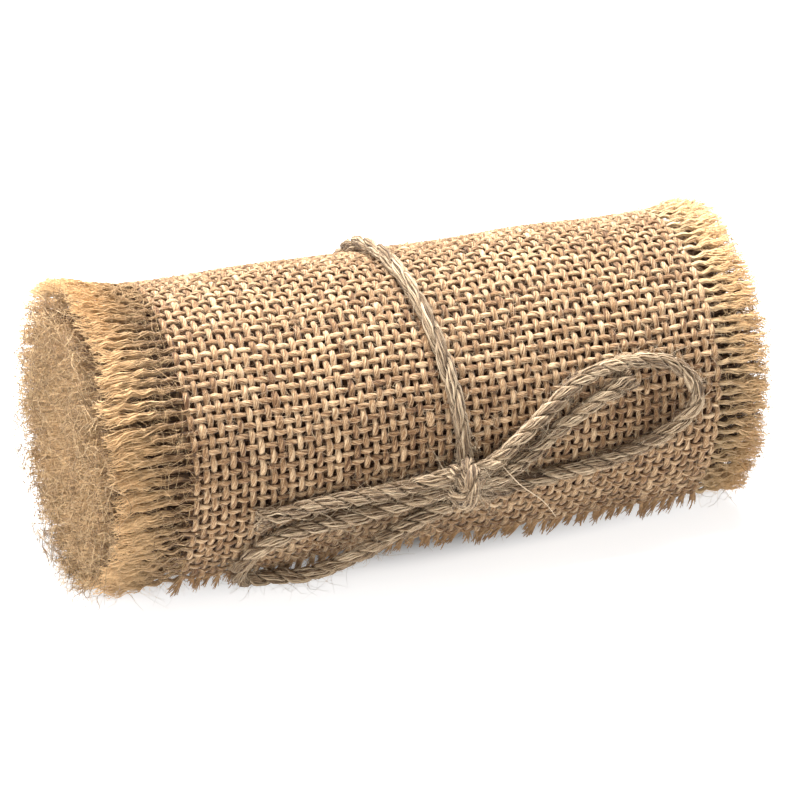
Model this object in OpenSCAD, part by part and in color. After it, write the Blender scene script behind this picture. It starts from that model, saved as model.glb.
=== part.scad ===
// A roll of burlap ribbon, wound on itself and tied round its middle with jute twine.
// The roll lies along X, with its front towards -Y. The origin is on the surface that it lies on,
// under the middle of its length. Angles round the roll are in degrees above its front.

/* [Ribbon] */
// Width of the woven cloth between its two fringes
woven_w = 122; // [80:1:180]
// Length of the fringe on the left edge
left_fringe_w = 18; // [6:0.5:30]
// Length of the fringe on the right edge
right_fringe_w = 12; // [6:0.5:30]
// Thickness of the woven cloth
cloth_t = 0.85; // [0.5:0.05:1.5]
// Thickness of a fringe, where only the crossing yarns are left
fringe_t = 0.6; // [0.3:0.05:1.2]
// Distance from one lengthwise yarn to the next
warp_spacing = 2.1; // [1.5:0.1:4]
// Length of the lengthwise yarns that stand out of the cut end
tuft_l = 3.5; // [1:0.5:4]

/* [Winding] */
// Radius of the roll at its cut end
roll_r = 32.6; // [24:0.1:45]
// Radius of the open eye in the middle
eye_r = 3; // [2:0.1:8]
// Air between one turn and the next
turn_gap = 0.33; // [0.2:0.01:0.8]
// How far round below the front the cut end stops, in degrees
cut_end_below = 52; // [44:1:58]
// How far the roll settles onto the surface
settle = 0.15; // [0.1:0.05:0.3]

/* [Tie] */
// Diameter of the twine
twine_d = 3.6; // [2.4:0.1:4.4]
// Room between the twine and the cloth
twine_gap = 0.3; // [0.3:0.05:1]
// Place of the tie along the roll, from the middle of the whole length
tie_x = 0.5; // [-8:0.5:8]
// How far the band leans to the left at the top of the roll
lean_top = 4; // [0:0.5:6]
// How far the band leans to the right at the front of the roll
lean_front = 2; // [0:0.5:4]
// How far the band is drawn to the left under the roll
lean_under = 19; // [0:0.5:20]
// How far below the front the knot sits, in degrees
knot_below = 11; // [0:1:20]

/* [Hidden] */

burlap = [0.72, 0.58, 0.40];
golden = [0.80, 0.64, 0.42];
twine = [0.60, 0.54, 0.42];

// The length of the roll, with the two fringes, is centred on the origin.
left_end = -(left_fringe_w + woven_w + right_fringe_w) / 2;
woven_left = left_end + left_fringe_w;
woven_right = woven_left + woven_w;

// The cloth winds inwards from its cut end. Every turn is a polygon with a flat side down.
turn_sides = 20;
side_angle = 360 / turn_sides;
wind_pitch = cloth_t + turn_gap;
wound_angle = 360 * (roll_r - cloth_t - eye_r) / wind_pitch;
first_corner = -90 + side_angle / 2
    + side_angle * ceil((90 - side_angle / 2 - cut_end_below) / side_angle);
wound_corners = concat([0], [for (a = [first_corner + cut_end_below : side_angle : wound_angle]) a]);

// Radius of the outer face of the cloth, so many degrees back from the cut end
function wound_r(wound) = roll_r - wind_pitch * wound / 360;

// The axis of the roll, placed so that its flat side lies on the surface and its depth is centred
roll_z = wound_r(270 + cut_end_below) * cos(side_angle / 2) - settle;
roll_y = (wound_r(cut_end_below - side_angle / 2) - wound_r(cut_end_below + 180 - side_angle / 2))
    * cos(side_angle / 2) / 2;

// A corner of the cloth, at a depth below its outer face. Under the roll the turns lie flat.
function cloth_corner(wound, depth) =
    let (angle = wound - cut_end_below, r = wound_r(wound) - depth,
         lowest = floor(wound / 360) * wind_pitch + depth)
    [roll_y - r * cos(angle), max(roll_z + r * sin(angle), lowest)];

function backwards(list) = [for (i = [len(list) - 1 : -1 : 0]) list[i]];

// The wound strip between two places along the roll
module wound_strip(from_x, to_x, outer_depth, inner_depth)
    translate([from_x, 0, 0])
        rotate([90, 0, 90])
            linear_extrude(to_x - from_x)
                polygon(concat([for (a = wound_corners) cloth_corner(a, outer_depth)],
                               backwards([for (a = wound_corners) cloth_corner(a, inner_depth)])));

// The fringe yarns run on from the middle of the cloth's thickness.
fringe_depth = (cloth_t - fringe_t) / 2;

// The tie
twine_r = twine_d / 2;
twine_sides = 8;
floor_gap = 0.1;
band_gap = 0.4;
knot_minor = twine_r;
knot_major = 1.5 * twine_r;
knot_lift = twine_gap + knot_major + knot_minor;
band_end = 3.5;

// A place on the tie: [distance along the roll from the tie, degrees above the front, lift].
// Lift is how far the twine stands off the roll beyond its usual gap.
function twine_place(p) =
    let (out = roll_r + twine_gap + twine_r + p[2])
    [tie_x + p[0], roll_y - out * cos(p[1]), max(roll_z + out * sin(p[1]), twine_r + floor_gap)];

left_loop_route = [
    [-1.5, -12, 1.6], [-8, -16.5, 0.6], [-16, -19, 0.2], [-24, -21, 0.2], [-31, -22, 0.2],
    [-38, -24, 0.2], [-43, -29, 0.2], [-45.5, -36, 0.2], [-46, -44, 0.2], [-44.5, -52, 0.2],
    [-41, -57, 0.4], [-36, -56, 0.9], [-30.5, -53, 1.5], [-25, -47, 1.6], [-19, -39, 1.3],
    [-14, -31.5, 1.3], [-8, -25, 1.4], [-1.5, -19.5, 1.8]];
right_loop_route = [
    [3, -8, 1.6], [9, -5, 0.8], [14.5, 1.5, 0.3], [18.5, 6.5, 0.2], [22.5, 11.5, 0.2],
    [27, 17, 0.2], [32.5, 20.5, 0.2], [38, 22, 0.2], [43.5, 22, 0.2], [50, 20, 0.2],
    [54.5, 13.5, 0.2], [56, 5.5, 0.2], [53, -1.5, 0.2], [46, -8, 0.2], [38, -12.5, 0.2],
    [30, -15, 0.2], [22, -16.5, 0.2], [14, -18, 0.3], [8, -18.5, 0.8], [3, -17, 1.4]];
left_tail_route = [
    [-1.5, -7, 1.8], [-7, -9, 1.2], [-13, -10.5, 0.8], [-20, -11.5, 0.4], [-27, -12, 0.2],
    [-34, -12.5, 0.2], [-40, -14, 0.2], [-45, -15, 0.2]];
right_tail_route = [
    [3, -12.5, 2.6], [8, -12, 2.6], [12, -9.5, 1.6], [17, -5, 0.4], [22, 1, 0.2],
    [27, 6, 0.2], [32.5, 10.5, 0.2], [37.5, 14, 0.2], [40.5, 17, 0.2]];

// The band leans, and under the roll it is drawn to the left, beneath the left loop.
function ramp(t) = (1 - cos(180 * min(max(t, 0), 1))) / 2;
function band_along(angle) = lean_front * cos(angle) - lean_top * sin(angle)
    - lean_under * ramp((angle - 180) / 110) * ramp((350 - angle) / 40);

// It goes from the knot over the top to the surface, flat under the roll, and up to the knot.
function spread(first, last, steps) = [for (i = [0 : steps]) first + (last - first) * i / steps];
landing = asin((roll_z - twine_r - floor_gap) / (roll_r + twine_gap + twine_r));
band_route = [for (a = concat(spread(band_end - knot_below, 180 + landing, 17),
                              spread(190 + landing, 350 - landing, 4),
                              spread(360 - landing, 360 - knot_below - band_end, 7)))
    twine_place([band_along(a), a, 0])];

// The groove that the cloth leaves for it under the roll
under_from = band_along(180 + landing);
under_to = band_along(360 - landing);
groove_x = tie_x + (under_from + under_to) / 2;
groove_half = twine_r + band_gap + abs(under_to - under_from) / 2;
groove_h = floor_gap + twine_d + band_gap;

function unit(v) = v / norm(v);

// One ring of a swept twine, turned so that a corner faces away from the roll's axis
function twine_ring(route, i) =
    let (along = unit(route[min(i + 1, len(route) - 1)] - route[max(i - 1, 0)]),
         away = unit([0, route[i][1] - roll_y, route[i][2] - roll_z]),
         side = unit(cross(along, away)),
         up = cross(side, along))
    [for (k = [0 : twine_sides - 1])
        route[i] + twine_r * (cos(360 * k / twine_sides) * side + sin(360 * k / twine_sides) * up)];

// Twine of one thickness, swept along the points of a route
module swept_twine(route)
    polyhedron(
        points = [for (i = [0 : len(route) - 1]) each twine_ring(route, i)],
        faces = concat(
            [[for (k = [0 : twine_sides - 1]) k]],
            [for (i = [0 : len(route) - 2], k = [0 : twine_sides - 1])
                let (near = i * twine_sides, far = near + twine_sides, next = (k + 1) % twine_sides)
                each [[near + k, far + k, far + next], [near + k, far + next, near + next]]],
            [[for (k = [twine_sides - 1 : -1 : 0]) (len(route) - 1) * twine_sides + k]]));

// The woven cloth of the strip, wound about 24 times, with a groove where the band passes under it
module woven_ribbon()
    color(burlap)
        difference() {
            wound_strip(woven_left, woven_right, 0, cloth_t);
            translate([groove_x - groove_half, -roll_r, -settle])
                cube([2 * groove_half, 2 * roll_r, groove_h + settle]);
        }

// The left edge, where only the crossing yarns are left
module left_fringe()
    color(golden)
        wound_strip(left_end, woven_left, fringe_depth, fringe_depth + fringe_t);

// The right edge, shorter
module right_fringe()
    color(golden)
        wound_strip(woven_right, woven_right + right_fringe_w, fringe_depth, fringe_depth + fringe_t);

// The ends of the lengthwise yarns, standing out of the cut end except where the band holds it down
module cut_end_tufts() {
    tuft_count = floor(woven_w / warp_spacing);
    first_x = woven_left + (woven_w - (tuft_count - 1) * warp_spacing) / 2;
    middle_r = roll_r - cloth_t / 2;
    color(golden)
        for (i = [0 : tuft_count - 1]) {
            x = first_x + i * warp_spacing;
            if (abs(x - groove_x) > groove_half)
                translate([x, roll_y - middle_r * cos(cut_end_below),
                           roll_z - middle_r * sin(cut_end_below)])
                    rotate([cut_end_below - 180, 0, 0])
                        cylinder(h = tuft_l, d = fringe_t, $fn = 16);
        }
}

// The turn of twine that holds the roll closed
module twine_band()
    color(twine)
        swept_twine(band_route);

// The knot: a ball of crossed twine with one turn wrapped round it
module bow_knot()
    color(twine)
        translate(twine_place([lean_front / 2, -knot_below, knot_lift - twine_gap - twine_r]))
            rotate([knot_below, 0, 0]) {
                sphere(r = knot_major + knot_minor / 2, $fn = 32);
                rotate([0, 90, 0])
                    rotate_extrude($fn = 32)
                        translate([knot_major, 0])
                            circle(r = knot_minor, $fn = 32);
            }

// The bow's left loop, which droops to the surface in front of the roll
module left_loop()
    color(twine)
        swept_twine([for (p = left_loop_route) twine_place(p)]);

// The bow's right loop, which leans on the front of the roll
module right_loop()
    color(twine)
        swept_twine([for (p = right_loop_route) twine_place(p)]);

// The twine's left end, cut square
module left_tail()
    color(twine)
        swept_twine([for (p = left_tail_route) twine_place(p)]);

// The twine's right end, inside the right loop
module right_tail()
    color(twine)
        swept_twine([for (p = right_tail_route) twine_place(p)]);

woven_ribbon();
left_fringe();
right_fringe();
cut_end_tufts();
twine_band();
bow_knot();
left_loop();
right_loop();
left_tail();
right_tail();
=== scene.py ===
# %% [markdown]
# # A tied roll of burlap ribbon
#
# This lesson builds the looks of a burlap ribbon that is wound into a roll and tied with jute twine.
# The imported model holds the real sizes: a plain spiral solid, two plain fringes and plain tubes of twine.
# Blender replaces each of them with what it really is, which is yarn. Every yarn is a swept mesh tube,
# so the weave, the fringe and the twine have real relief from every side.

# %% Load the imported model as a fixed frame
import math

import bpy
import numpy as np
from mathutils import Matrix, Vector


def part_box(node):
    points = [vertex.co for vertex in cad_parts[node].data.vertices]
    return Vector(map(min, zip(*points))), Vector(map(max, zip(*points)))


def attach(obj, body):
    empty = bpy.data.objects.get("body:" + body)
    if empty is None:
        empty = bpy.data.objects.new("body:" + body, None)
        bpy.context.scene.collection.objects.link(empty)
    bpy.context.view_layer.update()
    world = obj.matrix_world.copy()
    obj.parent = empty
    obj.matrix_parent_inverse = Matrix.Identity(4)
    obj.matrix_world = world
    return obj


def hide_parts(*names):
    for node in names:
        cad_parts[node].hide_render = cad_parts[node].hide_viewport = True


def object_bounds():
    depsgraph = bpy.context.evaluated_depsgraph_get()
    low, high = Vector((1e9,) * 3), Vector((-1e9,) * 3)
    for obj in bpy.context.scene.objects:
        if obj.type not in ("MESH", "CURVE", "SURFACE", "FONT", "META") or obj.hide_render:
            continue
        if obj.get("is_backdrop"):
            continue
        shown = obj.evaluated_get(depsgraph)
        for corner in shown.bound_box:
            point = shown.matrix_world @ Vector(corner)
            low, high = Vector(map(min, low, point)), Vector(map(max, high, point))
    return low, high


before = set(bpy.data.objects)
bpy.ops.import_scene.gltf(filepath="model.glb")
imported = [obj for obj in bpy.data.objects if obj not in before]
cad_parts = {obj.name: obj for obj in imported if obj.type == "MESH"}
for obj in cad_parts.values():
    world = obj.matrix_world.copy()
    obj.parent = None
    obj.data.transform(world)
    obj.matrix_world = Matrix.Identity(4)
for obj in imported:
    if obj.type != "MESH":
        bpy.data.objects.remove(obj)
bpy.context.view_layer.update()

scene = bpy.context.scene
mm = 0.001
print("nodes:", sorted(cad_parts))

# %% [markdown]
# ## The sizes of the roll
#
# The ribbon winds inwards from its cut end, and each turn lies one pitch below the turn outside it.
# These are the model's own driving sizes, in metres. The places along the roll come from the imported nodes,
# so the cloth and its fringes always end where the model says.

# %% Sizes shared with the model
roll_r = 32.6 * mm
eye_r = 3 * mm
cloth_t = 0.85 * mm
turn_gap = 0.33 * mm
wind_pitch = cloth_t + turn_gap
cut_end_below = 52
settle = 0.15 * mm
turn_sides = 20
warp_spacing = 2.1 * mm
half_side = math.radians(180 / turn_sides)


def wound_r(wound):
    """Radius of the outer face of the cloth, so many degrees back from the cut end."""
    return roll_r - wind_pitch * wound / 360


roll_z = wound_r(270 + cut_end_below) * math.cos(half_side) - settle
roll_y = (wound_r(cut_end_below - 180 / turn_sides)
          - wound_r(cut_end_below + 180 - 180 / turn_sides)) * math.cos(half_side) / 2
wound_angle = 360 * (roll_r - cloth_t - eye_r) / wind_pitch
woven_left, woven_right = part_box("woven_ribbon")[0][0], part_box("woven_ribbon")[1][0]
left_tips, right_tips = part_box("left_fringe")[0][0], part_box("right_fringe")[1][0]
print(f"axis {roll_z / mm:.1f} mm up, {wound_angle / 360:.1f} turns,",
      f"woven from {woven_left / mm:.0f} to {woven_right / mm:.0f} mm")

# %% [markdown]
# ## The camera
#
# A long lens from a little above and to the left keeps the two ends of the roll nearly the same size.
# The camera looks at a point just right of and below the middle of the roll, which sets the roll
# a little left of and above the middle of the picture.

# %% Camera
camera_azimuth, camera_elevation = math.radians(-22.1), math.radians(22.7)
camera_distance = 789 * mm
roll_middle = Vector((0, 0, 31.8 * mm))
away = Vector((math.sin(camera_azimuth) * math.cos(camera_elevation),
               -math.cos(camera_azimuth) * math.cos(camera_elevation),
               math.sin(camera_elevation)))
camera_turn = (-away).to_track_quat("-Z", "Y")
aim_right, aim_down = 2.3 * mm, 3.4 * mm

camera = bpy.data.objects.new("camera", bpy.data.cameras.new("camera"))
scene.collection.objects.link(camera)
camera.data.lens = 160
camera.data.sensor_width = 36
camera.data.clip_start = 0.05
camera.rotation_mode = "QUATERNION"
camera.rotation_quaternion = camera_turn
camera.location = (roll_middle + away * camera_distance
                   + camera_turn @ Vector((aim_right, -aim_down, 0)))
scene.camera = camera
print("camera at", [round(c, 3) for c in camera.location])

# %% [markdown]
# ## A white studio
#
# The straw coloured cloth stands on a white floor that glows, as painted light, so that hardly any
# shadow is left on it. The glow is dimmed to nothing in an oval where the roll rests, a painted shadow
# that also keeps the glow off the roll's underside. A large soft panel overhead, a little behind the roll,
# lights the top and lets the front fall off, and two small ones light the near end and fill the front.

# %% Floor, world and lamps
def panel(name, place, aim, width, depth, watts):
    """A soft rectangular lamp that faces a point."""
    lamp = bpy.data.objects.new(name, bpy.data.lights.new(name, "AREA"))
    lamp.data.shape = "RECTANGLE"
    lamp.data.size, lamp.data.size_y = width, depth
    lamp.data.energy = watts
    lamp.location = place
    lamp.rotation_euler = (Vector(aim) - Vector(place)).to_track_quat("-Z", "Y").to_euler()
    scene.collection.objects.link(lamp)
    return lamp


floor_mesh = bpy.data.meshes.new("floor")
floor_half = 4.0
floor_mesh.from_pydata([(-floor_half, -floor_half, 0), (floor_half, -floor_half, 0),
                        (floor_half, floor_half, 0), (-floor_half, floor_half, 0)], [], [(0, 1, 2, 3)])
floor = bpy.data.objects.new("floor", floor_mesh)
# The floor's glow is painted light. It fades to nothing in an oval under the roll, as a painted shadow.
painted_shadow_edge, painted_shadow_fade_end, glow = 6 * mm, 26 * mm, 0.82
painted_shadow_narrowing = 0.27
floor_glow_painted_shadow = bpy.data.materials.new("floor_glow_painted_shadow")
floor_glow_painted_shadow.use_nodes = True
floor_nodes, floor_links = floor_glow_painted_shadow.node_tree.nodes, floor_glow_painted_shadow.node_tree.links
floor_shader = floor_nodes["Principled BSDF"]
floor_shader.inputs["Base Color"].default_value = (0.5, 0.5, 0.5, 1)
floor_shader.inputs["Roughness"].default_value = 0.9
floor_shader.inputs["Specular IOR Level"].default_value = 0
floor_shader.inputs["Emission Color"].default_value = (1, 1, 1, 1)
floor_place = floor_nodes.new("ShaderNodeTexCoord")
painted_shadow_shape = floor_nodes.new("ShaderNodeMapping")
painted_shadow_shape.inputs["Scale"].default_value = (painted_shadow_narrowing, 1, 1)
from_painted_shadow = floor_nodes.new("ShaderNodeVectorMath")
from_painted_shadow.operation = "LENGTH"
floor_glow = floor_nodes.new("ShaderNodeMapRange")
floor_glow.interpolation_type = "SMOOTHSTEP"
floor_glow.inputs["From Min"].default_value = painted_shadow_edge
floor_glow.inputs["From Max"].default_value = painted_shadow_fade_end
floor_glow.inputs["To Max"].default_value = glow
floor_links.new(floor_place.outputs["Object"], painted_shadow_shape.inputs["Vector"])
floor_links.new(painted_shadow_shape.outputs["Vector"], from_painted_shadow.inputs[0])
floor_links.new(from_painted_shadow.outputs["Value"], floor_glow.inputs["Value"])
floor_links.new(floor_glow.outputs["Result"], floor_shader.inputs["Emission Strength"])
floor_mesh.materials.append(floor_glow_painted_shadow)
scene.collection.objects.link(floor)
floor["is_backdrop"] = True

world = bpy.data.worlds.new("studio")
scene.world = world
world.use_nodes = True
sky = world.node_tree.nodes["Background"]
sky.inputs["Color"].default_value = (1, 1, 1, 1)
sky.inputs["Strength"].default_value = 0.2
lit_point = (0, 0, 0.03)
panel("overhead_panel", (0.0, 0.18, 0.95), lit_point, 0.8, 0.5, 50)
panel("left_panel", (-0.95, -0.1, 0.4), lit_point, 0.5, 0.5, 7)
panel("front_panel", (-0.5, -0.75, 0.12), lit_point, 0.5, 0.2, 2.6)
scene.view_settings.view_transform = "Standard"
scene.view_settings.look = "None"

# %% [markdown]
# ## Where the twine goes
#
# Each place on the tie is given as a distance along the roll from the tie, an angle above the front of
# the roll and a lift off the cloth. That way a route is easy to read: it runs round the roll at no lift,
# and only where the twine stands off the cloth does the third number grow. The routes are the model's own.
# The band passes beneath the roll to the left, hidden behind the left loop.

# %% Routes of the twine
twine_d = 3.6 * mm
twine_r = twine_d / 2
twine_gap = 0.3 * mm
floor_gap = 0.1 * mm
tie_x = 0.5 * mm
lean_top = 4 * mm
lean_front = 2 * mm
lean_under = 19 * mm
knot_below = 11
band_end = 3.5

left_loop_route = [
    (-1.5, -12, 1.6), (-8, -16.5, 0.6), (-16, -19, 0.2), (-24, -21, 0.2), (-31, -22, 0.2),
    (-38, -24, 0.2), (-43, -29, 0.2), (-45.5, -36, 0.2), (-46, -44, 0.2), (-44.5, -52, 0.2),
    (-41, -57, 0.4), (-36, -56, 0.9), (-30.5, -53, 1.5), (-25, -47, 1.6), (-19, -39, 1.3),
    (-14, -31.5, 1.3), (-8, -25, 1.4), (-1.5, -19.5, 1.8)]
right_loop_route = [
    (3, -8, 1.6), (9, -5, 0.8), (14.5, 1.5, 0.3), (18.5, 6.5, 0.2), (22.5, 11.5, 0.2),
    (27, 17, 0.2), (32.5, 20.5, 0.2), (38, 22, 0.2), (43.5, 22, 0.2), (50, 20, 0.2),
    (54.5, 13.5, 0.2), (56, 5.5, 0.2), (53, -1.5, 0.2), (46, -8, 0.2), (38, -12.5, 0.2),
    (30, -15, 0.2), (22, -16.5, 0.2), (14, -18, 0.3), (8, -18.5, 0.8), (3, -17, 1.4)]
left_tail_route = [
    (-1.5, -7, 1.8), (-7, -9, 1.2), (-13, -10.5, 0.8), (-20, -11.5, 0.4), (-27, -12, 0.2),
    (-34, -12.5, 0.2), (-40, -14, 0.2), (-45, -15, 0.2)]
right_tail_route = [
    (3, -12.5, 2.6), (8, -12, 2.6), (12, -9.5, 1.6), (17, -5, 0.4), (22, 1, 0.2),
    (27, 6, 0.2), (32.5, 10.5, 0.2), (37.5, 14, 0.2), (40.5, 17, 0.2)]


def twine_places(route):
    """The points of a route, in metres. Twine never sinks below the surface that the roll lies on."""
    along, angle, lift = np.array(route, float).T
    out = roll_r + twine_gap + twine_r + lift * mm
    turn = np.radians(angle)
    return np.stack([tie_x + along * mm, roll_y - out * np.cos(turn),
                     np.maximum(roll_z + out * np.sin(turn), twine_r + floor_gap)], axis=1)


def ramp(t):
    """A soft step from 0 to 1."""
    return (1 - np.cos(np.pi * np.clip(t, 0, 1))) / 2


def band_x(angle):
    """Where the band is along the roll, at an angle above the front in degrees, from 0 to 360."""
    return (tie_x + lean_front * np.cos(np.radians(angle)) - lean_top * np.sin(np.radians(angle))
            - lean_under * ramp((angle - 180) / 110) * ramp((350 - angle) / 40))


def between(a, b, c, d, t):
    """A smooth curve from b to c, where a and d are the points before and after them."""
    return 0.5 * (2 * b + (c - a) * t + (2 * a - 5 * b + 4 * c - d) * t**2
                  + (3 * b - a - 3 * c + d) * t**3)


def smooth_line(points, spacing):
    """A smooth curve through the points, with its own points evenly spaced."""
    p = np.concatenate([[2 * points[0] - points[1]], points, [2 * points[-1] - points[-2]]])
    t = np.linspace(0, 1, 24, endpoint=False)[:, None]
    pieces = [between(a, b, c, d, t) for a, b, c, d in zip(p[:-3], p[1:-2], p[2:-1], p[3:])]
    fine = np.concatenate([*pieces, points[-1:]])
    gone = np.concatenate([[0], np.cumsum(np.linalg.norm(np.diff(fine, axis=0), axis=1))])
    at = np.linspace(0, gone[-1], max(2, round(gone[-1] / spacing) + 1))
    return np.stack([np.interp(at, gone, fine[:, k]) for k in range(3)], axis=1)


def line_length(line):
    """The length of a line of points."""
    return float(np.linalg.norm(np.diff(line, axis=0), axis=1).sum())


twine_step = 0.6 * mm
loose_lines = {name: smooth_line(twine_places(route), twine_step) for name, route in (
    ("left_loop", left_loop_route), ("right_loop", right_loop_route),
    ("left_tail", left_tail_route), ("right_tail", right_tail_route))}
print({name: round(line_length(line), 4) for name, line in loose_lines.items()})

# %% [markdown]
# ## The shape of the wound cloth
#
# Everything on the roll is placed by how far it lies along the roll, how many degrees it is wound back
# from the cut end, and how deep it lies below the cloth's outer face. Those three make a point. The
# roll also gets what real cloth has: a flat underside, a waist where the twine pulls it in, slow
# unevenness, and a cut end that springs away a little where nothing holds it down.

# %% From cloth coordinates to points
waist_depth = 0.45 * mm
under_drop = 1.2 * mm
cut_end_lift = 1.4 * mm
proud = 0.28 * mm


def smoothstep(t):
    """A soft ramp from 0 to 1."""
    t = np.clip(t, 0, 1)
    return t * t * (3 - 2 * t)


def cloth_r(x, wound):
    """Radius of the cloth's outer face, with its waist, its unevenness and its lifted cut end."""
    angle = np.radians(wound - cut_end_below)
    from_band = (x - band_x((wound - cut_end_below) % 360)) / mm
    waist = waist_depth * (0.7 * np.exp(-(from_band / 4.5) ** 2) + 0.3 * np.exp(-(from_band / 14) ** 2))
    uneven = mm * (0.16 * np.sin(x / (9 * mm) + 2 * angle) + 0.14 * np.sin(x / (5.3 * mm) - 3 * angle + 1))
    held = 1 - np.exp(-(from_band / 13) ** 2)
    lifted = cut_end_lift * smoothstep((26 - wound) / 32) ** 1.5 * held
    dropped = under_drop * smoothstep((wound - 300) / 60)
    inward = np.clip(wound_r(wound) / roll_r, 0, 1) ** 2
    return wound_r(wound) + (uneven - waist) * inward + lifted - dropped


def cloth_point(x, wound, depth):
    """Points on the wound cloth. The underside is pressed flat, each turn resting on the one below."""
    x, wound, depth = np.broadcast_arrays(x, wound, depth)
    angle = np.radians(wound - cut_end_below)
    r = cloth_r(x, wound) - depth
    turn = np.floor(np.maximum(wound, 0) / 360)
    lowest = turn * wind_pitch + depth + proud + under_drop * (turn > 0)
    z = roll_z + r * np.sin(angle)
    soft = 0.12 * mm
    z = lowest + soft * np.logaddexp(0, (z - lowest) / soft)
    return np.stack([x, roll_y - r * np.cos(angle), z], axis=-1)


def cloth_outward(wound):
    """The direction straight out of the roll."""
    angle = np.radians(np.asarray(wound, float) - cut_end_below)
    return np.stack([np.zeros_like(angle), -np.cos(angle), np.sin(angle)], axis=-1)


print("underside at", round(float(cloth_point(0.03, 322.0, 0.0)[2]) / mm, 3), "mm")

# %% [markdown]
# ## Yarns as swept tubes
#
# Every yarn, strand and hair in this lesson is a mesh tube. Many tubes are swept at once: their centre
# lines are one array of points, and rings are placed round them. Each vertex also keeps where it lies
# on its own yarn, so that a material can draw fibres along the yarn, and a tone of its own, because
# no two jute fibres have quite the same colour.

# %% Tubes and the meshes made of them
def unit(v):
    """Vectors of length one."""
    return v / np.maximum(np.linalg.norm(v, axis=-1, keepdims=True), 1e-12)


def tubes(lines, wide, high, outward, sides, tone, twist=1.0, tip=0.0, lobes=0.0):
    """Rings round many lines with the same number of points, as a set for mesh_of.

    Wide and high are the half sizes of the oval section, across the outward direction and along it.
    Twist is how many turns its fibres make round a yarn in each centimetre, and lobes is how much
    the section swells and shrinks where bunches of fibres twist round it.
    """
    lines = np.asarray(lines, float)
    count, points = lines.shape[:2]
    along = unit(np.gradient(lines, axis=1))
    across = unit(np.cross(along, np.broadcast_to(outward, lines.shape)))
    upward = np.cross(across, along)
    turn = 2 * np.pi * np.arange(sides) / sides
    wide, high, tone, tip = (np.broadcast_to(a, (count, points))[..., None]
                             for a in (wide, high, tone, tip))
    step = np.linalg.norm(np.diff(lines, axis=1), axis=-1)
    gone = np.concatenate([np.zeros((count, 1)), np.cumsum(step, axis=1)], axis=1)[..., None]
    fibre_turn = turn + 2 * np.pi * twist * 100 * gone
    own = np.random.default_rng(count * 7 + points).uniform(0, 60, (count, 1, 1))
    swell = 1 + lobes * (np.sin(2 * fibre_turn + own) + 0.8 * np.sin(3 * fibre_turn + 3 * own))
    rings = (lines[:, :, None] + (wide * swell * np.cos(turn))[..., None] * across[:, :, None]
             + (high * swell * np.sin(turn))[..., None] * upward[:, :, None])
    place = np.stack([np.broadcast_to(gone / mm + own * 5, rings.shape[:3]),
                      np.cos(fibre_turn) + own, np.sin(fibre_turn) + 2 * own], axis=-1)
    return {"rings": rings, "fibre_place": place,
            "tone": np.broadcast_to(tone, rings.shape[:3]), "tip": np.broadcast_to(tip, rings.shape[:3])}


def add_fibre_data(mesh, place, tone, tip):
    """Give each vertex its place on its own yarn, its tone and how far it has the colour of a tip."""
    for name, kind, field, values in (("fibre_place", "FLOAT_VECTOR", "vector", place),
                                      ("tone", "FLOAT", "value", tone), ("tip", "FLOAT", "value", tip)):
        data = mesh.attributes.new(name, kind, "POINT").data
        data.foreach_set(field, values.astype(np.float32).ravel())


def mesh_of(name, sets, material):
    """One object made of sets of tubes, with capped ends."""
    points, corners, totals, start = [], [], [], 0
    for s in sets:
        count, rings, sides = s["rings"].shape[:3]
        index = start + np.arange(count * rings * sides).reshape(count, rings, sides)
        following = np.roll(index, -1, axis=2)
        quads = np.stack([index[:, :-1], index[:, 1:], following[:, 1:], following[:, :-1]], axis=-1)
        corners += [quads.reshape(-1), index[:, 0].reshape(-1), index[:, -1, ::-1].reshape(-1)]
        totals += [np.full(quads.size // 4, 4), np.full(2 * count, sides)]
        points.append(s["rings"].reshape(-1, 3))
        start += count * rings * sides
    corners, totals = np.concatenate(corners), np.concatenate(totals)
    mesh = bpy.data.meshes.new(name)
    mesh.vertices.add(start)
    mesh.vertices.foreach_set("co", np.concatenate(points).astype(np.float32).ravel())
    mesh.loops.add(len(corners))
    mesh.loops.foreach_set("vertex_index", corners.astype(np.int32))
    mesh.polygons.add(len(totals))
    mesh.polygons.foreach_set("loop_start", np.concatenate([[0], np.cumsum(totals)[:-1]]).astype(np.int32))
    mesh.polygons.foreach_set("use_smooth", np.ones(len(totals), bool))
    add_fibre_data(mesh, *(np.concatenate([s[part].ravel() for s in sets])
                           for part in ("fibre_place", "tone", "tip")))
    mesh.update()
    mesh.validate()
    mesh.materials.append(material)
    made = bpy.data.objects.new(name, mesh)
    scene.collection.objects.link(made)
    print(f"{name}: {len(totals):,} faces")
    return made


# %% [markdown]
# ## Jute
#
# Jute fibre is straw coloured and dull, with a faint sheen along it. Three things make it look like
# fibre: fine streaks that run along the yarn in colour and in relief, slower changes of colour from
# place to place, and a warmer tint towards the ends of the fibres. The same material serves the cloth,
# its fringes and the twine, with different colours.

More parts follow.
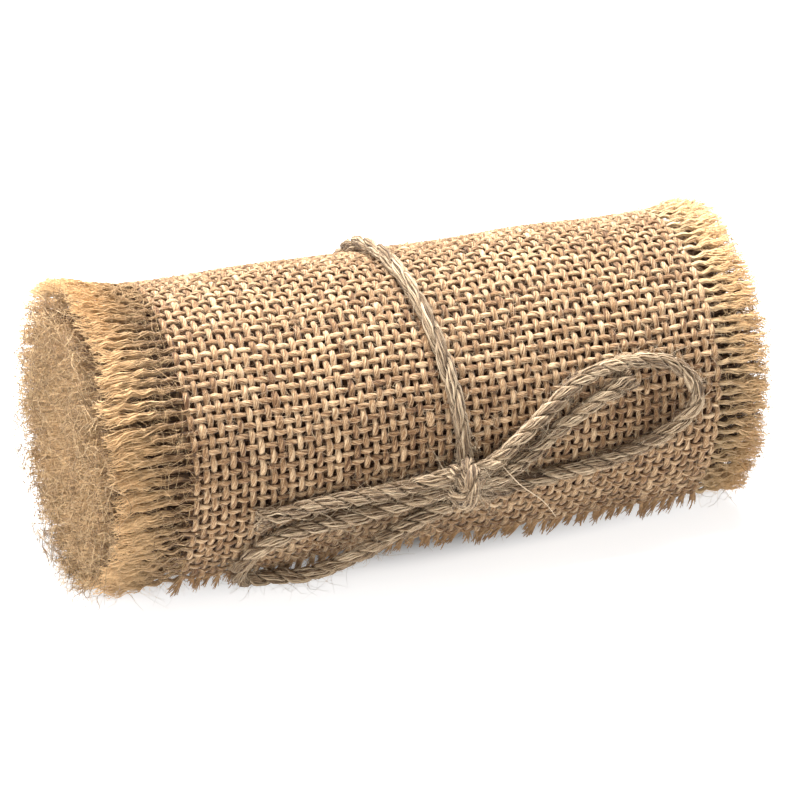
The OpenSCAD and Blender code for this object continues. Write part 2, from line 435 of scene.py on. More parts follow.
# %% The material of jute
def jute(name, dark, middle, light, tip_colour, streak_depth):
    """A fibre material. Its colours run from dark to light, and to another at the tips."""
    material = bpy.data.materials.new(name)
    material.use_nodes = True
    nodes, links = material.node_tree.nodes, material.node_tree.links
    shader = nodes["Principled BSDF"]
    shader.inputs["Roughness"].default_value = 0.82
    shader.inputs["Specular IOR Level"].default_value = 0.3
    shader.inputs["Sheen Weight"].default_value = 0.12
    shader.inputs["Sheen Roughness"].default_value = 0.5

    def attribute(attribute_name):
        node = nodes.new("ShaderNodeAttribute")
        node.attribute_name = attribute_name
        return node

    def noise(vector, stretch, scale, detail):
        mapping = nodes.new("ShaderNodeMapping")
        mapping.inputs["Scale"].default_value = stretch
        links.new(vector, mapping.inputs["Vector"])
        node = nodes.new("ShaderNodeTexNoise")
        node.inputs["Scale"].default_value = scale
        node.inputs["Detail"].default_value = detail
        links.new(mapping.outputs["Vector"], node.inputs["Vector"])
        return node.outputs["Fac"]

    def math_node(operation, a, b):
        node = nodes.new("ShaderNodeMath")
        node.operation = operation
        for socket, value in zip(node.inputs, (a, b)):
            if isinstance(value, (int, float)):
                socket.default_value = value
            else:
                links.new(value, socket)
        return node.outputs[0]

    yarn = attribute("fibre_place").outputs["Vector"]
    streaks = noise(yarn, (0.12, 1.0, 1.0), 2.6, 3.0)
    fine_streaks = noise(yarn, (0.25, 1.0, 1.0), 6.0, 2.0)
    patches = noise(yarn, (0.16, 0.3, 0.3), 1.0, 2.0)
    both = math_node("ADD", math_node("MULTIPLY", streaks, 2.0), fine_streaks)
    shade = math_node("ADD", both, math_node("MULTIPLY", patches, 0.8))
    shade = math_node("ADD", math_node("SUBTRACT", shade, 1.4),
                      math_node("MULTIPLY", attribute("tone").outputs["Fac"], 0.3))
    colours = nodes.new("ShaderNodeValToRGB")
    darkest, lightest = colours.color_ramp.elements
    darkest.position, lightest.position = 0.12, 0.88
    darkest.color, lightest.color = (*dark, 1), (*light, 1)
    colours.color_ramp.elements.new(0.5).color = (*middle, 1)
    links.new(shade, colours.inputs["Fac"])
    mix = nodes.new("ShaderNodeMix")
    mix.data_type = "RGBA"
    links.new(attribute("tip").outputs["Fac"], mix.inputs["Factor"])
    links.new(colours.outputs["Color"], mix.inputs["A"])
    mix.inputs["B"].default_value = (*tip_colour, 1)
    links.new(mix.outputs["Result"], shader.inputs["Base Color"])
    bump = nodes.new("ShaderNodeBump")
    bump.inputs["Strength"].default_value = 1.0
    bump.inputs["Distance"].default_value = streak_depth
    links.new(math_node("ADD", streaks, math_node("MULTIPLY", fine_streaks, 0.5)), bump.inputs["Height"])
    links.new(bump.outputs["Normal"], shader.inputs["Normal"])
    return material


burlap_material = jute("burlap_jute", (0.075, 0.030, 0.010), (0.26, 0.146, 0.065), (0.55, 0.392, 0.236),
                       (0.50, 0.28, 0.12), 0.16 * mm)
fringe_material = jute("fringe_jute", (0.085, 0.04, 0.014), (0.32, 0.185, 0.082), (0.58, 0.415, 0.23),
                       (0.80, 0.51, 0.245), 0.1 * mm)
twine_material = jute("twine_jute", (0.065, 0.036, 0.017), (0.225, 0.145, 0.077), (0.55, 0.42, 0.275),
                      (0.60, 0.44, 0.26), 0.12 * mm)
print("materials:", burlap_material.name, fringe_material.name, twine_material.name)

# %% [markdown]
# ## Two-ply twine
#
# The twine is two plies twisted round each other, and each ply is a bundle of strands twisted the other
# way. That opposite twist is what keeps real twine from unwinding. Each strand here is its own tube, so
# the plies have a groove between them and ridges along them. The strands wander a little, and loose
# hairs stand off all along, because jute is never combed smooth. The two plies press each other flat
# where they meet, so each ply is an oval bundle and the whole twine is nearly round.

# %% Twine from strands
ply_lay = 9 * mm
band_ply_lay = 14 * mm
strand_lay = 30 * mm
ply_out = 0.76 * mm
ply_high, ply_wide = 0.72 * mm, 1.16 * mm
core_r = 0.62 * mm
strand_r = 0.21 * mm
strands_in_ply = 18
longest_hair = 7.5 * mm


def carried_frame(line):
    """Two directions across a line at each point, carried along it without turning."""
    ahead = unit(np.gradient(line, axis=0))
    side = unit(np.cross(ahead[0], (0.3, 0.2, 1.0)))
    sides = []
    for direction in ahead:
        side = unit(side - direction * (side @ direction))
        sides.append(side)
    sides = np.array(sides)
    return sides, np.cross(ahead, sides)


def slow_wander(rng, count, points, waves, size):
    """Smooth random curves, from a few sine waves each."""
    t = np.linspace(0, 1, points)
    total = np.zeros((count, points))
    for wave in range(1, waves + 1):
        size_of_wave = rng.normal(0, 1, (count, 1)) / np.sqrt(wave)
        total += size_of_wave * np.sin(2 * np.pi * (wave * t + rng.uniform(0, 1, (count, 1))))
    return size * total / np.sqrt(waves / 2)


def twine_strands(line, seed, lay=ply_lay, spread_ends=(0, 0)):
    """The strands of a two-ply twine along a line. Spread_ends fans the plies out at each end."""
    rng = np.random.default_rng(seed)
    side, up = carried_frame(line)
    gone = np.concatenate([[0], np.cumsum(np.linalg.norm(np.diff(line, axis=0), axis=1))])
    fan = sum(np.clip(1 - d / s, 0, 1) ** 1.5 if s else 0 * d
              for d, s in ((gone, spread_ends[0]), (gone[-1] - gone, spread_ends[1])))
    lines, outs, cores = [], [], []
    waves = max(3, round(gone[-1] / (9 * mm)))
    twist = 2 * np.pi * gone / lay + slow_wander(rng, 1, len(line), max(2, waves // 3), 0.4)[0]
    for ply in (0, 1):
        ply_turn = twist + np.pi * ply
        ply_wander = slow_wander(rng, 1, len(line), waves, 0.08)[0]
        ply_away = (ply_out * (1 + 0.9 * fan) * (1 + ply_wander))[:, None]
        ply_line = line + ply_away * (np.cos(ply_turn)[:, None] * side + np.sin(ply_turn)[:, None] * up)
        cores.append(ply_line)
        for strand in range(strands_in_ply):
            strand_turn = (-2 * np.pi * gone / strand_lay + 2 * np.pi * strand / strands_in_ply
                           + slow_wander(rng, 1, len(line), waves, 0.3)[0])
            away = ((1 + 1.2 * fan) * rng.uniform(0.86, 1.06)
                    * (1 + slow_wander(rng, 1, len(line), 2 * waves, 0.10)[0]))
            high = (away * ply_high * np.cos(strand_turn - ply_turn))[:, None]
            wide = (away * ply_wide * np.sin(strand_turn - ply_turn))[:, None]
            inward = np.cos(ply_turn)[:, None] * side + np.sin(ply_turn)[:, None] * up
            sideways = np.cos(ply_turn)[:, None] * up - np.sin(ply_turn)[:, None] * side
            lines.append(ply_line + high * inward + wide * sideways)
            outs.append(unit(high * inward + wide * sideways))
    lines, outs, cores = np.array(lines), np.array(outs), np.array(cores)
    lines[..., 2] = np.maximum(lines[..., 2], strand_r + 0.05 * mm)
    cores[..., 2] = np.maximum(cores[..., 2], core_r + 0.05 * mm)
    thick = strand_r * rng.uniform(0.7, 1.25, (len(lines), 1)) * (
        1 + slow_wander(rng, len(lines), len(line), 2 * waves, 0.16))
    taper = 1 - 0.45 * np.clip(fan, 0, 1)
    tone = rng.normal(0, 0.6, (len(lines), 1)) + slow_wander(rng, len(lines), len(line), 2 * waves, 0.35)
    # The core of each ply is painted darker, as shade deep among its strands.
    core_taper = core_r * (1 - np.clip(1.6 * fan, 0, 0.9))
    return [tubes(lines, thick * taper, thick * taper, outs, 5, tone, twist=0.4),
            tubes(cores, core_taper, core_taper, side, 8, -1.0, twist=1.0)]


def hairs(rng, roots, outward, along, length, curl, thick, tone, points=7, sides=3, tip=0.0):
    """Loose curved hairs. Each leaves its root between along and outward, then bends its own way."""
    count = len(roots)
    length = np.broadcast_to(length, count)
    t = np.linspace(0, 1, points)[None, :, None]
    start = unit(outward * rng.uniform(0.15, 1.0, (count, 1))
                 + along * rng.choice([-1, 1], (count, 1)) * rng.uniform(0.3, 1.3, (count, 1)))
    bend = unit(rng.normal(0, 1, (count, 3)))
    bend2 = unit(rng.normal(0, 1, (count, 3)))
    lines = (roots[:, None] + length[:, None, None]
             * (start[:, None] * t + curl * bend[:, None] * t**2
                + curl * 0.6 * bend2[:, None] * np.sin(t * 5) * t))
    lines[..., 2] = np.maximum(lines[..., 2], 0.06 * mm)
    thin = np.broadcast_to(thick, count)[:, None] * np.linspace(1.0, 0.35, points)[None]
    return tubes(lines, thin, thin, bend[:, None] + 0.01, sides, np.broadcast_to(tone, count)[:, None],
                 twist=0.0, tip=tip)


def twine_hairs(line, count, seed):
    """Hairs that stand off a twine, most of them short and close to it."""
    rng = np.random.default_rng(seed)
    side, up = carried_frame(line)
    at = rng.integers(0, len(line), count)
    turn = rng.uniform(0, 2 * np.pi, count)[:, None]
    out = np.cos(turn) * side[at] + np.sin(turn) * up[at]
    ahead = unit(np.gradient(line, axis=0))[at]
    length = np.minimum(rng.lognormal(math.log(3.2), 0.55, count) * mm, longest_hair)
    return hairs(rng, line[at] + out * 1.4 * mm, out * 0.8, ahead, length, 0.5,
                 rng.uniform(0.03, 0.06, count) * mm, rng.normal(0.9, 0.8, count))


print("strands in the twine:", 2 * strands_in_ply)

# %% [markdown]
# ## The band, the bow and the knot
#
# The band runs once round the roll and leans to the left at the top. The bow hangs from the knot: two
# loops that come back to it, and two loose tails. Each of the five runs is a cord of its own, because
# each can be followed from the knot along its own route. The band presses into the cloth, and the lower
# strand of the left loop bows out in front of the roll. The loose tails are frayed at their ends.

# %% Lay the twine
landing = math.degrees(math.asin((roll_z - twine_r - floor_gap) / (roll_r + twine_gap + twine_r)))
band_angles = np.concatenate([
    np.linspace(band_end - knot_below, 180 + landing, 18), np.linspace(190 + landing, 350 - landing, 5),
    np.linspace(360 - landing, 360 - knot_below - band_end, 8)])
band_sunk = 1.2
band_route = np.stack([(band_x(band_angles % 360) - tie_x) / mm, band_angles,
                       np.full(len(band_angles), -band_sunk)], axis=1)
band_line = smooth_line(twine_places(band_route), twine_step)

bowed_out = np.array([-1.3, -3.4, 1.5]) * mm
share = np.linspace(0, 1, len(loose_lines["left_loop"]))[:, None]
lower_strand = smoothstep((share - 0.42) / 0.2) * smoothstep((1 - share) / 0.22)
loose_lines["left_loop"] = loose_lines["left_loop"] + bowed_out * lower_strand

band = mesh_of("twine_band_strands", twine_strands(band_line, 11, lay=band_ply_lay), twine_material)
bow = {}
for name, seed, frayed in (("left_loop", 12, 0), ("right_loop", 13, 0),
                           ("left_tail", 14, 6 * mm), ("right_tail", 15, 6 * mm)):
    strands = twine_strands(loose_lines[name], seed, spread_ends=(0, frayed))
    bow[name] = mesh_of(f"{name}_strands", strands, twine_material)

# %% The knot and the loose hairs of the twine
knot_middle = twine_places([(lean_front / mm / 2, -knot_below, 2.7)])[0]


def knot_wrap(size, lean, shift, turns, start, seed):
    """A short run of twine that wraps round the knot."""
    t = start + np.linspace(0, 2 * np.pi * turns, 60)
    ring = np.stack([shift * np.cos(t / 2), size * np.cos(t), size * 1.1 * np.sin(t)], axis=1)
    turned = np.stack([ring[:, 0] * math.cos(lean) - ring[:, 2] * math.sin(lean), ring[:, 1],
                       ring[:, 0] * math.sin(lean) + ring[:, 2] * math.cos(lean)], axis=1)
    return twine_strands(smooth_line(knot_middle + turned, twine_step), seed)


knot = mesh_of("bow_knot_wraps", [*knot_wrap(3.5 * mm, 0.30, 2.4 * mm, 1.25, 0.4, 21),
                                  *knot_wrap(2.8 * mm, -0.75, 1.6 * mm, 1.0, 2.2, 22),
                                  *knot_wrap(1.9 * mm, 1.3, 2.8 * mm, 0.8, 1.0, 23)], twine_material)
knot_rng = np.random.default_rng(31)
knot_hair_count = 380
knot_out = unit(knot_rng.normal(0, 1, (knot_hair_count, 3)))
knot_along = unit(knot_rng.normal(0, 1, (knot_hair_count, 3)))
knot_length = np.minimum(knot_rng.lognormal(math.log(4), 0.4, knot_hair_count), 6.5) * mm
knot_thick = knot_rng.uniform(0.03, 0.08, knot_hair_count) * mm
knot_tone = knot_rng.normal(0.7, 0.7, knot_hair_count)
knot_hairs = mesh_of("knot_hairs", [hairs(knot_rng, knot_middle + knot_out * 3.4 * mm, knot_out, knot_along,
                                          knot_length, 0.6, knot_thick, knot_tone)], twine_material)
band_hairs = mesh_of("band_hairs", [twine_hairs(band_line, 700, 32)], twine_material)
left_hairs = mesh_of("left_bow_hairs", [twine_hairs(loose_lines["left_loop"], 620, 33)], twine_material)

# One long pale hair has worked loose from the right side of the bow. It hangs down to the right in a
# slight wave, and stands further off the cloth the lower it gets.
fall = np.linspace(0, 1, 7)
slight_wave = 0.055 * np.sin(2 * np.pi * fall)
long_hair_route = np.stack([9 + 12.5 * fall, -5.5 - 19.5 * (fall + slight_wave),
                            1.5 + 5.5 * np.sqrt(fall)], axis=1)
long_hair = smooth_line(twine_places(long_hair_route), twine_step)
long_hair_thick = np.linspace(0.14, 0.09, len(long_hair))[None] * mm
right_hairs = mesh_of("right_bow_hairs", [
    twine_hairs(loose_lines["right_loop"], 700, 34),
    tubes(long_hair[None], long_hair_thick, long_hair_thick, np.array([[[0.0, -1.0, 0.2]]]), 4,
          np.array([[2.5]]), twist=0.0)], twine_material)
tail_hairs = {name: mesh_of(f"{name}_hairs", [twine_hairs(loose_lines[name], 260, seed)], twine_material)
              for name, seed in (("left_tail", 35), ("right_tail", 36))}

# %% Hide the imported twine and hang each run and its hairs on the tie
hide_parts("twine_band")
for name, run in bow.items():
    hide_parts(name)
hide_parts("bow_knot")
cord_runs = [(band, band_line, "object", "taut", (knot, knot_hairs, band_hairs))]
for name, far_end, hair in (("left_loop", "object", left_hairs), ("right_loop", "object", right_hairs),
                            ("left_tail", "bare", tail_hairs["left_tail"]),
                            ("right_tail", "bare", tail_hairs["right_tail"])):
    cord_runs.append((bow[name], loose_lines[name], far_end, "loose", (hair,)))
for run, line, far_end, lay, pieces in cord_runs:
    for piece in (run, *pieces):
        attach(piece, "tie")
    print(run.name, round(line_length(line), 3), "m")

# %% [markdown]
# ## The weave
#
# Burlap is a plain weave: each yarn goes over one crossing yarn and under the next. Here the crossings
# are laid out first, as one grid with a little unevenness, and both sets of yarns then run through the
# same grid, one over and the other under. So they interlace as real yarns do, with square holes between.
# The yarns that run the length of the ribbon wind round the roll, and the crossing yarns lie along it.
# The two outer turns are made this way. Nothing of the turns under them shows but their ends.

# %% Lay out the crossings
weft_spacing = 2.35 * mm
warp_count = round((woven_right - woven_left) / warp_spacing)
warp_x = woven_left + ((woven_right - woven_left) - (warp_count - 1) * warp_spacing) / 2
warp_x = warp_x + warp_spacing * np.arange(warp_count)
weave_middle = 0.5 * mm
crimp = 0.37 * mm


def distance_to(wound):
    """The distance along the ribbon from the cut end to a place so many degrees back."""
    return np.radians(roll_r * wound - wind_pitch * wound**2 / 720)


def wound_after(distance):
    """How many degrees back from the cut end a distance along the ribbon reaches."""
    a = wind_pitch / 720
    return (roll_r - np.sqrt(roll_r**2 - 4 * a * np.degrees(distance))) / (2 * a)


def weft_places(first_wound, last_wound):
    """Where the crossing yarns lie between two places on the ribbon, in degrees back from the cut end."""
    places = wound_after(np.arange(0.45 * weft_spacing, distance_to(last_wound), weft_spacing))
    return places[places >= first_wound]


def crossings(rng, wefts):
    """The grid of crossings: where along the roll and how far wound back each of them is."""
    uneven_x = (rng.normal(0, 0.07, (warp_count, len(wefts)))
                + slow_wander(rng, warp_count, len(wefts), 9, 0.16))
    uneven_y = (rng.normal(0, 0.09, (len(wefts), warp_count))
                + slow_wander(rng, len(wefts), warp_count, 6, 0.22)).T
    all_drift = slow_wander(rng, 1, warp_count, 3, 0.5).T
    x = warp_x[:, None] + uneven_x * mm
    wound = wefts[None] + np.degrees((uneven_y + all_drift) * mm / wound_r(wefts)[None])
    return x, wound


def through(values, steps):
    """A smooth run through the values along the last axis, with steps places from each to the next."""
    v = np.concatenate([2 * values[:, :1] - values[:, 1:2], values, 2 * values[:, -1:] - values[:, -2:-1]],
                       axis=1)
    t = np.arange(steps) / steps
    run = between(*(v[:, k:v.shape[1] - 3 + k, None] for k in range(4)), t)
    return np.concatenate([run.reshape(len(v), -1), values[:, -1:]], axis=1)


outer_wefts, second_wefts = weft_places(0, 360), weft_places(360, 715)
print(warp_count, "yarns round the roll;", len(outer_wefts), "and", len(second_wefts), "crossing yarns")


# %% Run the yarns through the crossings
def yarn_thickness(rng, count, points, slubs):
    """How thick each yarn is along its way, as a share. Jute yarn has thin places and slubs."""
    t = np.linspace(0, 1, points)[None]
    thick = 1 + slow_wander(rng, count, points, 14, 0.10)
    for _ in range(slubs):
        where, size = rng.uniform(0, 1, (count, 1)), rng.uniform(0.05, 0.38, (count, 1))
        thick = thick + size * np.exp(-((t - where) / rng.uniform(0.006, 0.02, (count, 1))) ** 2)
    return np.clip(thick, 0.72, 1.5)


def woven_yarns(rng, x, wound, over, steps, sides, wide, high, tone_shift=0.0):
    """Tubes for one set of yarns of the grid. Over is +1 where they pass outside the other set."""
    lines_x, lines_wound, lift = through(x, steps), through(wound, steps), through(over * crimp, steps)
    count, points = lines_x.shape
    thick = yarn_thickness(rng, count, points, 3)
    squeeze = 1 + 0.14 * lift / crimp
    tone = (rng.normal(tone_shift, 0.18, (count, 1)) + slow_wander(rng, count, points, 9, 0.26)
            + 0.6 * (thick - 1))
    return tubes(cloth_point(lines_x, lines_wound, weave_middle - lift), wide * thick * squeeze,
                 high * thick, cloth_outward(lines_wound), sides, tone, twist=1.1, lobes=0.08)


warp_wide, warp_high = 0.62 * mm, 0.42 * mm
weft_wide, weft_high = 0.53 * mm, 0.40 * mm
weave_rng = np.random.default_rng(5)
outer_x, outer_wound = crossings(weave_rng, outer_wefts)
second_x, second_wound = crossings(weave_rng, second_wefts)


def over_under(shape):
    """+1 and -1 in turn, like the squares of a chessboard."""
    return 1.0 - 2 * (np.add.outer(np.arange(shape[0]), np.arange(shape[1])) % 2)


half_warps, half_wefts = warp_count // 2, len(outer_wefts) // 2
outer_steps, outer_sides = 4, 8
# The second turn's yarns are painted darker, as shade under the outer turn, so the holes of the weave read
# dark.
second_steps, second_sides, second_turn_painted_shade = 3, 6, -1.2
outer_over = over_under(outer_x.shape)
weave_pieces = []
for name, some in (("left", slice(0, half_warps)), ("right", slice(half_warps, None))):
    yarns = woven_yarns(weave_rng, outer_x[some], outer_wound[some], outer_over[some],
                        outer_steps, outer_sides, warp_wide, warp_high)
    weave_pieces.append(mesh_of(f"burlap_long_yarns_{name}", [yarns], burlap_material))
halves = (("front", slice(0, half_wefts)), ("back", slice(half_wefts, None)))
for name, some in halves:
    yarns = woven_yarns(weave_rng, outer_x.T[some], outer_wound.T[some], -outer_over.T[some],
                        outer_steps, outer_sides, weft_wide, weft_high)
    weave_pieces.append(mesh_of(f"burlap_cross_yarns_{name}", [yarns], burlap_material))
second_over = over_under(second_x.shape)
for name, x, wound, over, wide, high in (
        ("long", second_x, second_wound, second_over, warp_wide, warp_high),
        ("cross", second_x.T, second_wound.T, -second_over.T, weft_wide, weft_high)):
    yarns = woven_yarns(weave_rng, x, wound, over, second_steps, second_sides, wide, high,
                        second_turn_painted_shade)
    weave_pieces.append(mesh_of(f"burlap_second_turn_{name}_yarns", [yarns], burlap_material))

# %% [markdown]
# ## The turns inside
#
# The rest of the ribbon winds on inwards to the eye. It is one long strip of cloth, closed on both
# faces, that starts where the woven yarns of the second turn end. Its flat length and width are those
# of the real ribbon, less the two turns that are made of yarns.

# %% The inner strip
strip_wound = np.arange(700, wound_angle, 6.0)
strip_x = np.linspace(woven_left + 0.4 * mm, woven_right - 0.4 * mm, 13)
outer_face = cloth_point(strip_x[None], strip_wound[:, None], 0.08 * mm)
inner_face = cloth_point(strip_x[None], strip_wound[:, None], cloth_t - 0.08 * mm)
rounds = np.concatenate([outer_face, inner_face[:, ::-1]], axis=1)
ring_size = rounds.shape[1]
index = np.arange(rounds.shape[0] * ring_size).reshape(rounds.shape[:2])
following = np.roll(index, -1, axis=1)
strip_quads = np.stack([index[:-1], index[1:], following[1:], following[:-1]], axis=-1).reshape(-1, 4)
strip_mesh = bpy.data.meshes.new("burlap_inner_turns")
strip_mesh.from_pydata(rounds.reshape(-1, 3).tolist(), [],
                       strip_quads.tolist() + [index[0].tolist(), index[-1, ::-1].tolist()])
own_place = np.stack([np.broadcast_to(np.radians(strip_wound)[:, None] * 20, rounds.shape[:2]),
                      rounds[..., 0] / mm, rounds[..., 0] / mm], axis=-1)
add_fibre_data(strip_mesh, own_place, np.zeros(index.size), np.full(index.size, 0.3))
strip_mesh.materials.append(burlap_material)
inner_turns = bpy.data.objects.new("burlap_inner_turns", strip_mesh)
scene.collection.objects.link(inner_turns)

# %% [markdown]
# ## The frayed edges
#
# Each edge of the ribbon has lost its outermost long yarns, so the crossing yarns stick out as a fringe.
# A yarn's end keeps the waves that the weave pressed into it, loses its twist and opens into fibres.
# The fringe is longer at the left end, and flares a little at the top, where nothing presses on it.

# %% Fringes
def fringe(rng, side, wefts_wound, edge_x, strands, points, loose, sunk, tone_shift, tip_size):
    """Yarn ends beyond one edge of the cloth. Side is -1 at the left end and +1 at the right end.

    Loose is how far single strands stray at their tips, and sunk is how far the tips lie below the cloth.
    """
    count = len(wefts_wound)
    reach = (abs(left_tips - woven_left) if side < 0 else right_tips - woven_right)
    t = np.linspace(0, 1, points)[None, None]
    length = reach * rng.uniform(0.92, 1.06, (count, 1, 1)) * rng.uniform(0.80, 1.0, (count, strands, 1))
    x = edge_x[:, None, None] + side * (length + warp_spacing * 0.6) * t
    waves = math.pi * (length + warp_spacing) * t / warp_spacing
    first_bend = np.where(np.arange(count) % 2, 1.0, -1.0)[:, None, None]
    wave = first_bend * crimp * np.cos(waves) * (1 - 0.5 * t)
    side_wave = (rng.uniform(0.05, 0.3, (count, 1, 1)) * mm
                 * np.sin(waves * rng.uniform(0.5, 1.0, (count, 1, 1)) + rng.uniform(0, 6, (count, 1, 1)))
                 * smoothstep(t * 5))
    lean = rng.normal(0, 0.6, (count, 1, 1)) * mm * t**1.3
    own_lean = rng.normal(0, loose, (count, strands, 1)) * mm * t**1.6
    curls = slow_wander(rng, 2 * count * strands, points, 7, 0.24).reshape(2, count, strands, points) * mm
    curls = curls * smoothstep(t * 2)
    turn = 2 * np.pi * (np.arange(strands)[None, :, None] / strands + rng.uniform(0, 1, (count, 1, 1))
                        + length * t / (26 * mm))
    open_r = (0.31 + 0.74 * t**2.2) * mm * np.sqrt(rng.uniform(0.05, 1.3, (count, strands, 1)))
    across = lean + own_lean + side_wave + curls[0] + open_r * np.cos(turn) * 1.3
    top = np.clip(np.sin(np.radians(wefts_wound - cut_end_below)), 0, 1)[:, None, None]
    flare = (2.6 if side < 0 else 1.4) * mm * top * t**1.7 * (wefts_wound < 380)[:, None, None]
    own_out = rng.normal(0, loose, (count, strands, 1)) * mm * t**1.6 + curls[1]
    depth = weave_middle - wave - open_r * np.sin(turn) - flare - own_out + sunk * smoothstep(t * 4)
    wound = wefts_wound[:, None, None] + np.degrees(across / wound_r(wefts_wound)[:, None, None])
    place = cloth_point(x, wound, depth).reshape(count * strands, points, 3)
    place[..., 2] = np.maximum(place[..., 2], 0.15 * mm)
    thick = np.broadcast_to((0.13 - 0.07 * t) * mm * rng.uniform(0.6, 1.4, (count, strands, 1)),
                            x.shape).reshape(count * strands, points)
    tone = (rng.normal(tone_shift, 0.5, (count, strands, 1)) + rng.normal(0, 0.25, (count, 1, 1)) + 0 * t)
    tip = np.broadcast_to(tip_size * smoothstep(1.15 * t - 0.1), x.shape)
    return tubes(place, thick, thick, cloth_outward(wound).reshape(place.shape), 3,
                 tone.reshape(thick.shape), twist=0.3, tip=tip.reshape(thick.shape))


fringe_rng = np.random.default_rng(8)
inner_wefts = weft_places(715, wound_angle - 20)
fringe_pieces = []
for side, name, edge, outer_tone in ((-1, "left", 0, -0.6), (1, "right", -1, 1.2)):
    for part, some in halves:
        outer = fringe(fringe_rng, side, outer_wound[edge][some], outer_x[edge][some], strands=40,
                       points=18, loose=0.35, sunk=0.0, tone_shift=outer_tone, tip_size=0.85)
        fringe_pieces.append(mesh_of(f"{name}_fringe_yarn_ends_{part}", [outer], fringe_material))
    # The yarn ends of the second turn lie deeper and are painted much darker, as shade under the outer ends.
    second = fringe(fringe_rng, side, second_wound[edge], second_x[edge], strands=10, points=14,
                    loose=0.6, sunk=2.0 * mm, tone_shift=-3.0, tip_size=0.0)
    fringe_pieces.append(mesh_of(f"{name}_fringe_second_turn_yarn_ends", [second], fringe_material))
    # The yarn ends of the turns inside are painted darker, as shade in the depth of the roll's end.
    inner_edge = np.full(len(inner_wefts), warp_x[edge])
    inner = fringe(fringe_rng, side, inner_wefts, inner_edge, strands=7, points=9,
                   loose=1.2, sunk=2.0 * mm, tone_shift=-0.8, tip_size=0.6)
    inner["rings"][..., 0] += side * 1.8 * mm
    fringe_pieces.append(mesh_of(f"{name}_fringe_inner_yarn_ends", [inner], fringe_material))


# %% Matted fibres on the two ends of the roll
def end_mat(rng, side, count):
    """Curly fibres that lie across one end of the roll and hide its turns."""
    r = roll_r * np.sqrt(rng.uniform(0.0, 0.94, count))
    turn = rng.uniform(0, 2 * np.pi, count)
    tip_x = left_tips if side < 0 else right_tips
    x = tip_x - side * mm * (-0.8 + rng.exponential(2.4, count))
    z = np.maximum(roll_z + r * np.sin(turn), 0.5 * mm)
    roots = np.stack([x, roll_y - r * np.cos(turn), z], axis=1)
    out = np.broadcast_to((float(side), 0, 0), roots.shape)
    way = rng.uniform(0, 2 * np.pi, count)
    along = np.stack([rng.normal(0, 0.15, count), np.cos(way), np.sin(way)], axis=1)
    length = np.minimum(rng.lognormal(math.log(5), 0.45, count), 11) * mm
    clumps = (np.sin(1.1 * roots[:, 1] / mm + 2 * np.sin(0.7 * roots[:, 2] / mm))
              * np.sin(0.9 * roots[:, 2] / mm))
    # Most hairs are painted dark, as shade in the depth of the mat, with slow clumps of tone; about a third
    # are pale and lie on top.
    tone = np.where(rng.random(count) < 0.35, 3.6, 2.2 * clumps + rng.normal(-2.2, 1.0, count))
    bright = tone > 2.5
    thick = np.where(bright, 0.075, rng.uniform(0.06, 0.11, count)) * mm
    fallen = np.clip((roots[:, 1] - roll_y - roots[:, 2] + roll_z) / (1.4 * roll_r), 0, 1)
    roots[:, 0] += side * 1.6 * mm * fallen
    roots[:, 0] += side * 0.8 * mm * bright
    mat = hairs(rng, roots, out * 0.3, along, length, 0.75, thick, tone, points=8, tip=0.25)
    mat["rings"][..., 0] = np.clip(mat["rings"][..., 0], left_tips - 3.4 * mm, right_tips + 3.0 * mm)
    return mat


mat_rng = np.random.default_rng(9)
for side, name in ((-1, "left"), (1, "right")):
    fringe_pieces.append(mesh_of(f"{name}_end_matted_fibres", [end_mat(mat_rng, side, 3000)],
                                 fringe_material))

# %% [markdown]
# ## The cut end
#
# The ribbon was cut across, so its long yarns end in a row of short tufts below the last crossing yarn.
# They hang clear of the roll, lean to the left and leave gaps between them.

# %% Tufts of the cut end
tuft_rng = np.random.default_rng(10)
tuft_strands, tuft_points = 20, 8
tuft_t = np.linspace(0, 1, tuft_points)[None, None]
tuft_length = (4.2 * mm * tuft_rng.uniform(0.65, 1.15, (warp_count, 1, 1))
               * tuft_rng.uniform(0.55, 1.05, (warp_count, tuft_strands, 1)))
tuft_turn = 2 * np.pi * (np.arange(tuft_strands)[None, :, None] / tuft_strands + 0.3 * tuft_t)
tuft_open = (0.34 + 0.42 * tuft_t) * mm * np.sqrt(tuft_rng.uniform(0.1, 1.3, (warp_count, tuft_strands, 1)))
tuft_x = (outer_x[:, 0, None, None] + tuft_open * np.cos(tuft_turn)
          + (tuft_rng.normal(-1.1, 0.9, (warp_count, 1, 1))
             + tuft_rng.normal(0, 0.3, (warp_count, tuft_strands, 1))) * mm * tuft_t)
tuft_wound = outer_wound[:, 0, None, None] + 1.0 - np.degrees(0.75 * tuft_length * tuft_t / roll_r)
tuft_depth = weave_middle - tuft_open * np.sin(tuft_turn) - 0.55 * tuft_length * tuft_t**1.3
tuft_lines = cloth_point(tuft_x, tuft_wound, tuft_depth).reshape(-1, tuft_points, 3)
tuft_thick = np.broadcast_to((0.17 - 0.08 * tuft_t) * mm, tuft_x.shape).reshape(-1, tuft_points)
tuft_outward = cloth_outward(np.broadcast_to(tuft_wound, tuft_x.shape)).reshape(tuft_lines.shape)
# The tufts are painted a little darker than the cloth, as shade under the roll.
tuft_tone = tuft_rng.normal(-0.1, 0.5, (len(tuft_lines), 1))
tufts = mesh_of("cut_end_yarn_tufts", [tubes(tuft_lines, tuft_thick, tuft_thick, tuft_outward, 4, tuft_tone,
                                             twist=0.3, tip=0.5)], burlap_material)


# %% [markdown]
# ## Loose fibres
#
# Jute sheds: thin pale hairs stand off the cloth everywhere, most of them short.

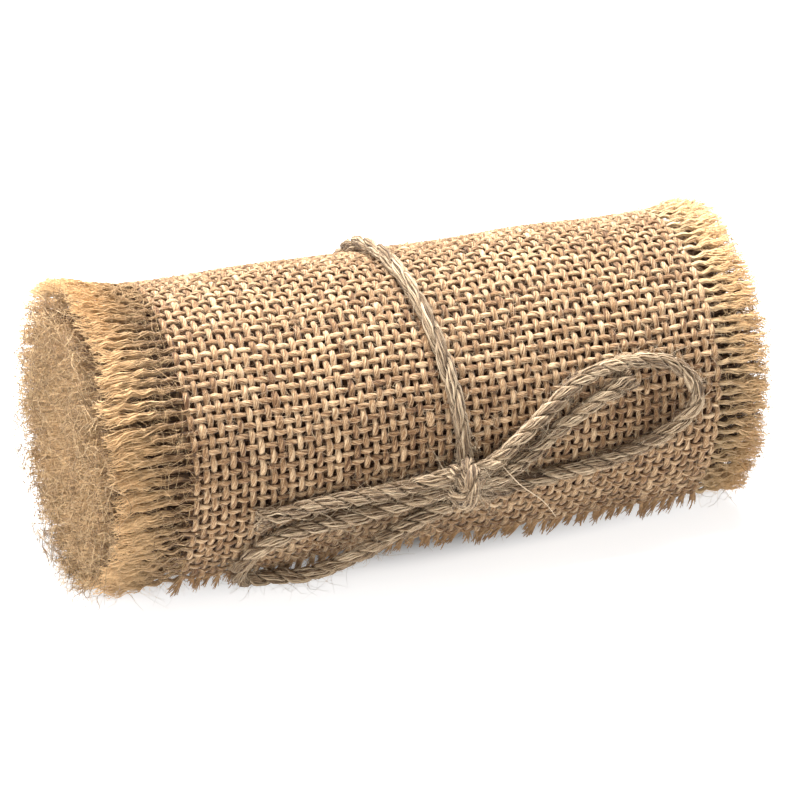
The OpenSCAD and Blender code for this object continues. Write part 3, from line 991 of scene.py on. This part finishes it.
# %% Hairs on the cloth and the fringes
def cloth_hairs(rng, x, wound, length, thick, curl, tone, tip=0.0):
    """Hairs rooted on the outer face of the cloth."""
    count = len(x)
    out = cloth_outward(wound)
    angle = np.radians(wound - cut_end_below)
    round_way = np.stack([np.zeros(count), np.sin(angle), np.cos(angle)], axis=1)
    mix = rng.uniform(-1, 1, (count, 1))
    along = unit(mix * np.array([1.0, 0, 0]) + (1 - abs(mix)) * round_way)
    return hairs(rng, cloth_point(x, wound, np.full(count, 0.1 * mm)), out * 0.4, along, length, curl,
                 thick, tone, points=5, tip=tip)


hair_rng = np.random.default_rng(12)
hair_count = 13500
hair_length = np.minimum(hair_rng.lognormal(math.log(1.7), 0.5, hair_count), 7) * mm
hair_x = hair_rng.uniform(woven_left, woven_right, hair_count)
hair_wound = hair_rng.uniform(0, 358, hair_count)
hair_thick = hair_rng.uniform(0.035, 0.07, hair_count) * mm
hair_tone = hair_rng.normal(0.7, 0.6, hair_count)
cloth_fuzz = mesh_of("burlap_loose_hairs", [cloth_hairs(hair_rng, hair_x, hair_wound, hair_length,
                                                        hair_thick, 0.5, hair_tone)], burlap_material)
fringe_fuzz = []
for side, name, from_x, to_x, count in ((-1, "left", left_tips, woven_left, 2600),
                                        (1, "right", woven_right, right_tips, 2000)):
    fuzz_length = np.minimum(hair_rng.lognormal(math.log(3.0), 0.5, count), 9) * mm
    fuzz = cloth_hairs(hair_rng, hair_rng.uniform(from_x, to_x, count), hair_rng.uniform(0, 358, count),
                       fuzz_length, hair_rng.uniform(0.03, 0.06, count) * mm, 0.5,
                       hair_rng.normal(0.5, 0.5, count), tip=0.4)
    fringe_fuzz.append(mesh_of(f"{name}_fringe_loose_hairs", [fuzz], fringe_material))

# %% Say what the cloth is
for piece in [*weave_pieces, inner_turns, cloth_fuzz]:
    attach(piece, "roll")
    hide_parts("woven_ribbon")
for piece in [*fringe_pieces, *fringe_fuzz]:
    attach(piece, "roll")
    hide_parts("left_fringe" if piece.name.startswith("left") else "right_fringe")
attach(tufts, "roll")
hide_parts("cut_end_tufts")

# %% Find the box round everything shown
low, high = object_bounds()
